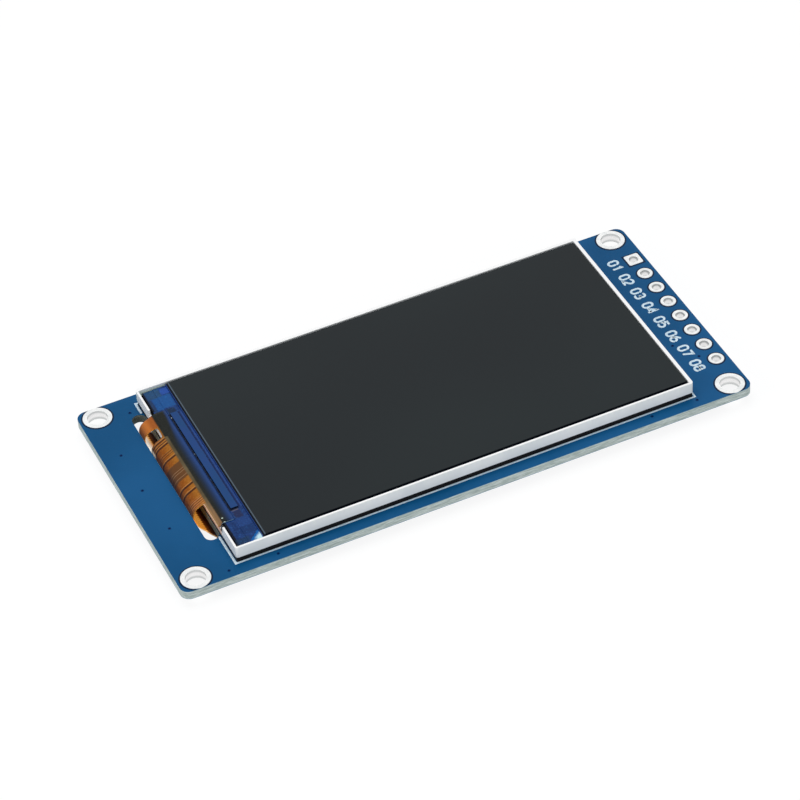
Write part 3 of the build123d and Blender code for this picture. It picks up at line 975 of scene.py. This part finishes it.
ink = ink_finish()
labels = []
for pin in range(PINS):
    labels += label_strokes(f"0{pin + 1}", ((PINS - 1) / 2 - pin) * PITCH)
numbers = piece_from("pin_numbers", labels, [ink])
print("pin numbers:", len(labels), "strokes,", len(numbers.data.polygons), "faces")

# %% [markdown]
# The outline is one open line round the display, a little wider on the left.

# %% Outline of the display
def outline_strokes():
    """The printed rectangle, open on the left where the slot breaks it."""
    left, right, front, back = -24.905, 25.1, -12.895, 12.98
    corners = [(left, front), (right, front), (right, back), (left, back)]
    points = with_ends(resampled([(left, -8.7), *corners, (left, 11.35)], 1.0), 0.2)
    width = np.where(points[:, 0] < left + 0.1, 0.25, 0.2)
    return [stroke(points, width)]


outline = piece_from("printed_outline", outline_strokes(), [ink])
print("outline faces:", len(outline.data.polygons))

# %% [markdown]
# ## Small holes under the mask
#
# A few plated holes join the copper layers. They are covered by the mask,
# which dips into them and looks dark. Each is a shallow crater, a low raised
# ring round a dish, made by turning a profile about an upright axis. The
# holes go through, so each crater is mirrored onto the board's other face.

# %% Covered holes
PARKED = [(-15.4, 2.0), (-15.4, 0.4), (-15.4, -1.2)]
HOLES = np.array([
    (-25.92, 12.01), (-29.04, 6.56), (-29.07, 0.84), (-28.74, -5.38), (-25.88, -13.45),
    (-20.76, -13.55), (26.8, -5.08), (28.38, -7.75), (25.04, -13.43), (19.95, -13.44),
])
CRATER = np.array([
    (0.0, 0.004), (0.05, 0.005), (0.09, 0.008), (0.115, 0.016), (0.13, 0.022), (0.155, 0.022),
    (0.17, 0.0),
])


def crater(centre):
    """A turned surface: the radius and height of the profile at every angle."""
    angle = np.linspace(0, 2 * np.pi, 24, endpoint=False)
    x = centre[0] + CRATER[:, 0, None] * np.cos(angle)
    y = centre[1] + CRATER[:, 0, None] * np.sin(angle)
    z = np.broadcast_to(board_top + CRATER[:, 1, None], x.shape)
    return np.stack([x, y, z], -1)[::-1]


def below(grid):
    """The grid on the other face: z becomes the sum of both faces less z.

    The columns are turned round, so that the faces still point outwards.
    """
    return (grid * (1, 1, -1) + (0, 0, 2 * BOARD_MIDDLE))[:, ::-1]


def crater_finish():
    """Mask over a hole: the board's blue on the ring, nearly black in the dish."""
    finish = Finish("covered_hole")
    point, x, y, z = finish.place()
    grain = point.noise(6.0, 2.0)
    rise = abs(z - BOARD_MIDDLE) - BOARD_HALF
    base = rise.ease(0.01, 0.02).tones((0, 14, 56), (8, 60, 110))
    base = base.tint(grain.ease(0.6, 0.8) * 0.2, 40, 90, 140)
    normal = grain.bump(0.1, 0.01)
    return finish.shade(base_color=base, roughness=0.45, specular=0.06, normal=normal)


craters = [crater(hole) for hole in HOLES]
craters += [below(crater(hole)) for hole in (*HOLES, *PARKED)]
holes = piece_from("covered_holes", craters, [crater_finish()], closed=True)
print("covered holes:", len(craters), "faces", len(holes.data.polygons))

# %% [markdown]
# ## Tracks behind the board
#
# Copper tracks run behind the board from the film's fingers to the pins, past
# the regulator and the lamp transistor. Under the mask they show as low
# ridges of a slightly lighter blue. They turn by half right angles, as tracks
# do, and are the same ribbons as the printed strokes, mirrored to that face.

# %% Covered tracks
FINGER_EDGE, PIN_EDGE = span("flex_solder")[1][0] - 0.15, pads_low[0] + 0.1


def from_finger(start_y, turn_x, end_y, end_x=PIN_EDGE):
    """A track from its finger: straight, over by half a right angle, straight on."""
    over_x = turn_x + abs(end_y - start_y)
    return [(FINGER_EDGE, start_y), (turn_x, start_y), (over_x, end_y), (end_x, end_y)]


SIGNALS = [
    from_finger(4.4, 8.0, 8.89),
    from_finger(3.6, 15.0, 4.55, 18.4),
    from_finger(2.8, 26.5, 3.81),
    from_finger(1.2, 27.0, 1.27),
    from_finger(-0.4, 25.0, -1.27),
    from_finger(-2.0, 25.2, -3.81),
    [*from_finger(-2.8, 24.7, -4.45)[:3], (26.35, -5.9), (26.8, -6.35), (PIN_EDGE, -6.35)],
    from_finger(-3.6, 17.6, -5.45, 20.5),
    *([(FINGER_EDGE, hole[1]), hole] for hole in PARKED),
]
SUPPLIES = [
    from_finger(-4.4, 16.2, -7.35, 20.5),
    [(PIN_EDGE, 6.35), (26.2, 6.35), (25.7, 5.85), (25.0, 5.85)],
    [(19.2, 4.55), (19.6, 4.55), (19.9, 4.25), (20.5, 4.25)],
    [(22.9, 5.2), (23.4, 5.2), (24.0, 5.8), (24.3, 5.8)],
    [(PIN_EDGE, -8.89), (26.2, -8.89), (25.41, -8.1)],
    [(22.9, -6.4), (23.9, -6.4)],
]


def track_finish():
    """Blue mask over copper: the board's tone, a little lighter and smoother."""
    finish = Finish("mask_over_copper")
    point = finish.point()
    cloud = point.noise(0.4, 3.0)
    base = cloud.ease(0.3, 0.7).tones((20, 92, 144), (32, 106, 160))
    normal = point.noise(2.4, 2.0).bump(0.1, 0.02)
    return finish.shade(base_color=base, roughness=0.3, specular=0.14, normal=normal)


def track_grids(lines, width):
    """Every line as a ribbon of the given width on the board's other face."""
    points = [with_ends(resampled(line, 1.5), width / 2) for line in lines]
    return [below(stroke(line, width)) for line in points]


ridges = track_grids(SIGNALS, 0.28) + track_grids(SUPPLIES, 0.5)
tracks = piece_from("covered_tracks", ridges, [track_finish()])
print("covered tracks:", len(SIGNALS) + len(SUPPLIES), "faces", len(tracks.data.polygons))

# %% [markdown]
# ## Folded flex
#
# The display's flex is amber film over copper tracks. It leaves the glass,
# dips over the frame, rolls round through the slot and lies flat behind the
# board, where its fingers are soldered. A window and a notch are cut in the
# roll. The piece is one sheet worked out in two parameters: the distance
# walked along the film and the place across it. The heading of the film is a
# simple function of the distance walked, and its place is the running sum of
# the heading.

# %% The film's path
BOND, LIP_RADIUS, SLOPE, BEND_RADIUS = 1.15, 0.4, math.radians(28), 1.15
FILM = flex_high[2] - glass_high[2]
START = (glass_low[0] + BOND, glass_high[2] + FILM / 2)
TAIL_LEVEL = flex_low[2] + FILM / 2
BEND_X = flex_low[0] + FILM / 2 + BEND_RADIUS
BEND_Z = TAIL_LEVEL + BEND_RADIUS

lip_drop = LIP_RADIUS * (1 - math.cos(SLOPE))
slope_drop = START[1] - lip_drop - BEND_Z - BEND_RADIUS * math.cos(SLOPE)
runs = [
    BOND,
    LIP_RADIUS * SLOPE,
    slope_drop / math.sin(SLOPE),
    BEND_RADIUS * (math.pi - SLOPE),
    flex_high[0] - BEND_X,
]
BREAKS = np.cumsum([0.0, *runs])
ROLL_START, TAIL_START, FILM_END = BREAKS[3:]
HEADINGS = math.pi + np.array([0.0, 0.0, SLOPE, SLOPE, math.pi, math.pi])
FINE = np.linspace(0.0, FILM_END, 4001)


def film_line():
    """The film's place at every fine step: the running sum of its directions.

    The heading is linear between the breaks, so it is constant on a straight
    run and turns evenly on a bend. Each step adds the cosine and the sine of
    the heading at its middle, times its length, to x and z.
    """
    middle = (FINE[1:] + FINE[:-1]) / 2
    heading = np.interp(middle, BREAKS, HEADINGS)
    x = np.cumsum(np.cos(heading)) * FINE[1]
    z = np.cumsum(np.sin(heading)) * FINE[1]
    return START[0] + np.append(0.0, x), START[1] + np.append(0.0, z)


line_x, line_z = film_line()


def walked_to(values, target, after):
    """The distance walked at which a falling or rising value passes a target."""
    later = FINE > after
    passed = np.sign(values - target) != np.sign(values[later][0] - target)
    return float(FINE[later & passed][0])


print("film length", FILM_END.round(3), "ends at", line_x[-1].round(3), line_z[-1].round(3))

# %% [markdown]
# The cuts are made by moving the side lines of the sheet. The main strip runs
# from the film's near edge to a middle line, and the far strip from there to
# the far edge. Where the window is, the two strips part. Each cut has its
# rounded corners: at a small distance from its end, the side line is moved by
# the gap between a square corner and a quarter circle.

# %% Side lines of the film
NEAR_EDGE, LOWER_FAR, FLARE = flex_low[1], flex_high[1], 0.55
WINDOW_NEAR, WINDOW_FAR_TOP, WINDOW_FAR_FLOOR = 5.55, 7.15, 7.5
NOTCH_FAR, LOWER_NEAR, TAIL_HALF, MIDDLE = -5.15, -5.8, 5.1, 6.35
LOWER_SLANT, STEEP_FROM, STEEP, LOWER_END = 0.65, 5.05, 1.3, 6.0
CORNER, CUT_FLOOR, SHOULDER = 0.3, BEND_Z - 0.45, 2.0
THIN = 0.004

window_start = walked_to(line_x, glass_low[0] - 0.46, 0.0)
notch_start = walked_to(line_x, glass_low[0] - 0.6, 0.0)
cut_end = walked_to(line_z, CUT_FLOOR, ROLL_START)
shoulder = walked_to(line_x, BEND_X + SHOULDER, TAIL_START)


def corner_gap(walked, start, end):
    """How far a rounded corner fills a cut: r minus the root of r2 - (r - d)2.

    d is the distance from the cut's nearer end, and r the corner's radius.
    """
    from_end = np.clip(np.minimum(walked - start, end - walked), 0.0, CORNER)
    return CORNER - np.sqrt(CORNER**2 - (CORNER - from_end) ** 2)


def side_lines(walked):
    """Near and far side of the main strip and of the far strip."""
    gap = corner_gap(walked, window_start, cut_end)
    in_window = (walked >= window_start) & (walked <= cut_end)
    down = np.clip((walked - window_start) / (cut_end - window_start), 0, 1)
    far_side = WINDOW_FAR_TOP + (WINDOW_FAR_FLOOR - WINDOW_FAR_TOP) * down
    main_far = np.where(in_window, WINDOW_NEAR + gap, MIDDLE)
    strip_near = np.where(in_window, far_side - gap, MIDDLE)

    notched = NOTCH_FAR - corner_gap(walked, notch_start, cut_end)
    near = np.where(walked < notch_start, NEAR_EDGE, notched)
    lower = np.minimum(walked, LOWER_END)
    slant = (lower - cut_end) * LOWER_SLANT + np.maximum(lower - STEEP_FROM, 0.0) * STEEP
    near = np.where(walked > cut_end, LOWER_NEAR - slant, near)
    near = np.where(walked > shoulder, -TAIL_HALF, near)
    main_far = np.where(walked > shoulder, TAIL_HALF, main_far)
    far = np.where(walked > cut_end, LOWER_FAR, LOWER_FAR - FLARE)
    return near, main_far, strip_near, far


def film_rows():
    """Distances walked for the rows: close together on bends and at the cuts."""
    straight = np.linspace(0.0, FILM_END, 60)
    bends = np.concatenate([np.linspace(*BREAKS[i:i + 2], n) for i, n in ((1, 8), (3, 72))])
    near_end = CORNER * (1 - np.cos(np.linspace(0, np.pi / 2, 9)))
    cuts = []
    for start in (window_start, notch_start):
        cuts += [start - THIN, *(start + near_end)]
    cuts += [*(cut_end - near_end), cut_end + THIN, shoulder, shoulder + THIN]
    return np.unique(np.concatenate([straight, bends, BREAKS, cuts]).round(5))


print("cuts:", [round(v, 3) for v in (window_start, notch_start, cut_end)])

# %% [markdown]
# The piece keeps the distance walked and the place across in its UV map, so
# its finishes can be written in the film's own measures. Its outer face is
# made of zones along the walk. On the glass it looks blue-black from the glue
# and wiring under it, and then comes a tan strip where the glue ends.

# %% Film on the glass
UV_SPAN = 20.0


def film_place(finish):
    """Distance walked along the film and place across it, in millimetres."""
    walked, across, _ = finish.node("TexCoord", {}, {}).out("UV").parts()
    return walked * UV_SPAN, across * UV_SPAN - UV_SPAN / 2


def bonded_tone(walked, across, cloud, fine):
    """The film over the glass: violet, then olive with painted glints, then tan where the glue
    ends.
    """
    olive = fine.ease(0.3, 0.7).tones((18, 22, 18), (32, 34, 30))
    violet = walked.ease(0.0, 0.75).tones((38, 70, 128), (24, 38, 58))
    onward = walked + across.ease(3.0, 8.5) * 0.6
    bonded = onward.ease(0.62, 1.04).mix(violet, olive)
    # Painted highlights: two small glints near the film's near end.
    glints = across.inside(-8.22, -8.1, 0.04).most(across.inside(-8.78, -8.7, 0.03))
    bonded = bonded.tint(glints * walked.inside(0.94, 1.1, 0.04), 214, 232, 220)
    tan = cloud.ease(0.3, 0.7).tones((80, 70, 48), (108, 94, 68))
    tan = tan.tint(across.ease(-4.6, -7.5) * 0.8, 140, 106, 74)
    dark_end = 1.25 + across.ease(5.2, 5.5) * 0.35
    return (walked - dark_end).ease(-0.08, 0.08).mix(bonded, tan)


print("map spans", UV_SPAN, "mm")

# %% [markdown]
# After the tan strip comes the amber roll, with dark copper tracks, a wide
# earth band and a pale strip along its near edge, the strip a painted highlight.
# Painted shade darkens the roll as it turns away and curves under, and painted
# highlights lie beside the tracks and as a glare beside the window. On the way
# to the tail the tracks gather into lanes, one to each finger, and the fingers
# are bare.

# %% Outer face of the film
FRONT_TRACKS = [
    (5.2, 0.1), (4.83, 0.07), (4.47, 0.13), (2.47, 0.13), (-1.95, 0.13), (-2.8, 0.13),
    (3.4, 0.04), (3.1, 0.04), (-4.3, 0.03), (-4.6, 0.03),
]
PALE_LINES = [0.5, 0.17, -0.45]
FINGER_PITCH, FINGER_LENGTH = 0.8, 1.5


def film_outer():
    """Amber with tracks under it: the roll, its near strip, the lanes to the fingers,
    with painted shade on the roll and painted highlights.

    Tracks, the painted highlights beside them and lanes are masks of the place
    across, and front is the part of the walk that faces forward. The same masks lift the film.
    """
    finish = Finish("amber_film")
    point = finish.point()
    walked, across = film_place(finish)
    cloud = point.noise(0.5, 3.0, 0.6)
    fine = point.noise(5.0, 3.0, 0.6)
    front = walked.ease(4.9, 4.6) * walked.ease(1.4, 1.6)

    amber = walked.ease(1.7, 2.5).tones((160, 100, 30), (138, 74, 12))
    amber = amber.tint(cloud.ease(0.5, 0.75) * 0.5, 176, 116, 40)
    amber = amber.tint(fine.ease(0.52, 0.7) * 0.35, 186, 118, 52)
    amber = amber.tint(fine.ease(0.48, 0.32) * 0.35, 92, 42, 10)
    orange = walked.ease(1.9, 2.5).tones((158, 86, 34), (190, 110, 46))
    amber = across.ease(6.9, 7.3).mix(amber, orange)
    earth = across.inside(-0.8, 1.5, 0.06)
    amber = amber.tint(earth * 0.9, 90, 58, 32)
    for place in PALE_LINES:
        amber = amber.tint(across.inside(place - 0.03, place + 0.03, 0.02) * 0.7, 168, 132, 98)

    tracks = [across.inside(place - half, place + half, 0.03) for place, half in FRONT_TRACKS]
    # Painted highlights: pale lines beside the tracks.
    track_highlights = [across.inside(place + half, place + half * 2, 0.04) for place, half in FRONT_TRACKS]
    tracks, track_highlights = reduce(Reading.most, tracks), reduce(Reading.most, track_highlights)
    hatch = (across % 0.27).inside(0.07, 0.16, 0.04) * across.inside(-5.15, -3.95, 0.04)
    amber = amber.tint(track_highlights * front * 0.4, 214, 152, 84)
    amber = amber.tint(tracks * front * 0.9, 50, 18, 8)
    amber = amber.tint(hatch * front * 0.7, 190, 130, 88)

    # Painted shade: the roll darkens as it turns away and curves under.
    amber = amber.tint(walked.ease(2.4, 3.5) * 0.6, 24, 8, 6)
    # Painted highlight: the strip along the near edge turns pale down the slope.
    strip = walked.ease(1.42, 1.6).tones((104, 72, 58), (150, 116, 78))
    strip = strip.tint(walked.ease(1.72, 1.8), 228, 190, 160)
    amber = (across.ease(-5.1, -5.4) * walked.ease(cut_end, 2.4)).mix(amber, strip)

    lane = (across / (1.0 + walked.ease(9.4, 5.8) * 0.32)) % FINGER_PITCH
    wires = lane.inside(FINGER_PITCH / 2 - 0.16, FINGER_PITCH / 2 + 0.16, 0.03)
    wires = wires * walked.ease(4.9, 5.3)
    bared = FILM_END - FINGER_LENGTH
    amber = amber.tint(wires * 0.55, 176, 112, 44)
    amber = amber.tint(wires * walked.ease(bared, bared + 0.06), 214, 214, 208)

    bonded = bonded_tone(walked, across, cloud, fine)
    base = walked.ease(1.42, 1.66).mix(bonded, amber)
    # Painted highlight: a pale glare on the roll beside the window.
    glare = across.inside(4.5, 5.45, 0.25) * walked.ease(ROLL_START + 0.8, ROLL_START + 1.15)
    base = base.tint(glare * front * 0.9, 255, 232, 200)

    height = tracks * front + wires * 0.7 + earth * 0.5
    normal = fine.bump(0.12, 0.02, height.bump(0.35, 0.03))
    rough = 0.26 + cloud * 0.14
    return finish.shade(base_color=base, roughness=rough, specular=0.12, normal=normal)


amber_film = film_outer()
print("outer face:", amber_film.name)

# %% [markdown]
# The film's inner face, seen through the cuts, is gold, painted bright as light and glowing in
# part.

# %% Inner face of the film
def film_inner():
    """The other face: the same film in gold, painted brighter as light.

    It is nearly black where it is glued to the glass, with a painted highlight
    on its near edge there. It is painted palest just under the cuts, as light
    coming through the roll, it glows as painted light from the cuts to near the
    tail, and painted shade turns it brown on the way to the tail. A painted
    highlight runs along the near edge of the lower lap, a slanting line.
    """
    finish = Finish("gold_film")
    point = finish.point()
    walked, across = film_place(finish)
    cloud = point.noise(0.6, 3.0, 0.6)
    fine = point.noise(6.0, 3.0, 0.6)
    # Gold, painted brighter than its own colour as light.
    gold = cloud.ease(0.3, 0.7).tones((238, 152, 50), (250, 184, 84))
    ribs = ((across + walked * 0.6) % 0.36).inside(0.1, 0.22, 0.05)
    gold = gold.tint(ribs * 0.6, 196, 104, 20)
    # Painted light: palest just under the cuts, as light through the roll.
    pale = walked.ease(cut_end - 0.25, cut_end) * walked.ease(cut_end + 1.1, cut_end + 0.3)
    pale = pale * across.ease(2.5, 4.5)
    gold = gold.tint(pale, 255, 250, 236)
    # Painted shade: brown with a toothed edge, then darker, on the way to the tail.
    toothed = walked + (across % 0.36) * 0.5
    gold = gold.tint(toothed.ease(TAIL_START - 0.36, TAIL_START - 0.16), 136, 72, 22)
    gold = gold.tint(walked.ease(TAIL_START - 0.16, TAIL_START + 0.05), 62, 26, 10)
    # Painted highlight: a pale line along the slanting near edge of the lower lap.
    slant = (walked - cut_end) * LOWER_SLANT + (walked - STEEP_FROM).most(0.0) * STEEP
    from_edge = across - LOWER_NEAR + slant
    lap_edge_highlight = from_edge.ease(0.16, 0.08) * walked.ease(cut_end + 0.3, cut_end + 0.6)
    gold = gold.tint(lap_edge_highlight * 0.8, 222, 170, 104)
    # Painted highlight: a pale blue line on the film's near edge where it lies on the glass.
    near_end = (across < -8.7).tones((8, 12, 26), (112, 148, 176))
    base = walked.ease(1.3, 1.5).mix(near_end, gold)
    # Painted light: the gold glows from the cuts to near the tail.
    through = walked.ease(cut_end - 0.6, cut_end) * walked.ease(TAIL_START - 0.2, TAIL_START - 0.38)
    glow = through.mix(colour(0, 0, 0), gold)
    normal = fine.bump(0.1, 0.02)
    return finish.shade(
        base_color=base, roughness=0.34, metallic=0.5, normal=normal,
        emission_color=glow, emission_strength=0.5,
    )


gold_film = film_inner()
print("inner face:", gold_film.name)

# %% [markdown]
# The sheet is laid as two grids, the main strip and the far strip, which
# share the middle line and part at the window. It has no thickness until the
# last step gives it the film's own.

# %% Folded flex
def strip_grid(walked, near, far, columns):
    """Rows along the film and columns across it, with evenly spaced columns."""
    share = np.linspace(0, 1, columns)[None, :]
    across = near[:, None] * (1 - share) + far[:, None] * share
    x = np.broadcast_to(np.interp(walked, FINE, line_x)[:, None], across.shape)
    z = np.broadcast_to(np.interp(walked, FINE, line_z)[:, None], across.shape)
    return np.stack([x, across, z], -1)


def walk_map(walked, grid):
    """Distance walked and place across, scaled into the square of a UV map."""
    rows = np.broadcast_to(walked[:, None], grid.shape[:2])
    return np.stack([rows, grid[..., 1] + UV_SPAN / 2], -1) / UV_SPAN


def folded_flex():
    """Two strips in one sheet, thickened to both sides, gold on the inside."""
    walked = film_rows()
    near, main_far, strip_near, far = side_lines(walked)
    wide = walked <= shoulder
    main = strip_grid(walked, near, main_far, 45)
    side = strip_grid(walked[wide], strip_near[wide], far[wide], 11)
    flats = [walk_map(walked, main), walk_map(walked[wide], side)]
    piece = piece_from(
        "folded_flex", [main, side], [amber_film, gold_film], flats=flats
    )
    skin = piece.modifiers.new("thickness", "SOLIDIFY")
    skin.thickness = FILM * MM
    skin.offset = 0.0
    skin.material_offset = 1
    skin.material_offset_rim = 1
    return piece


flex = folded_flex()
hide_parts("display_flex")
print("folded flex:", len(flex.data.polygons), "faces")
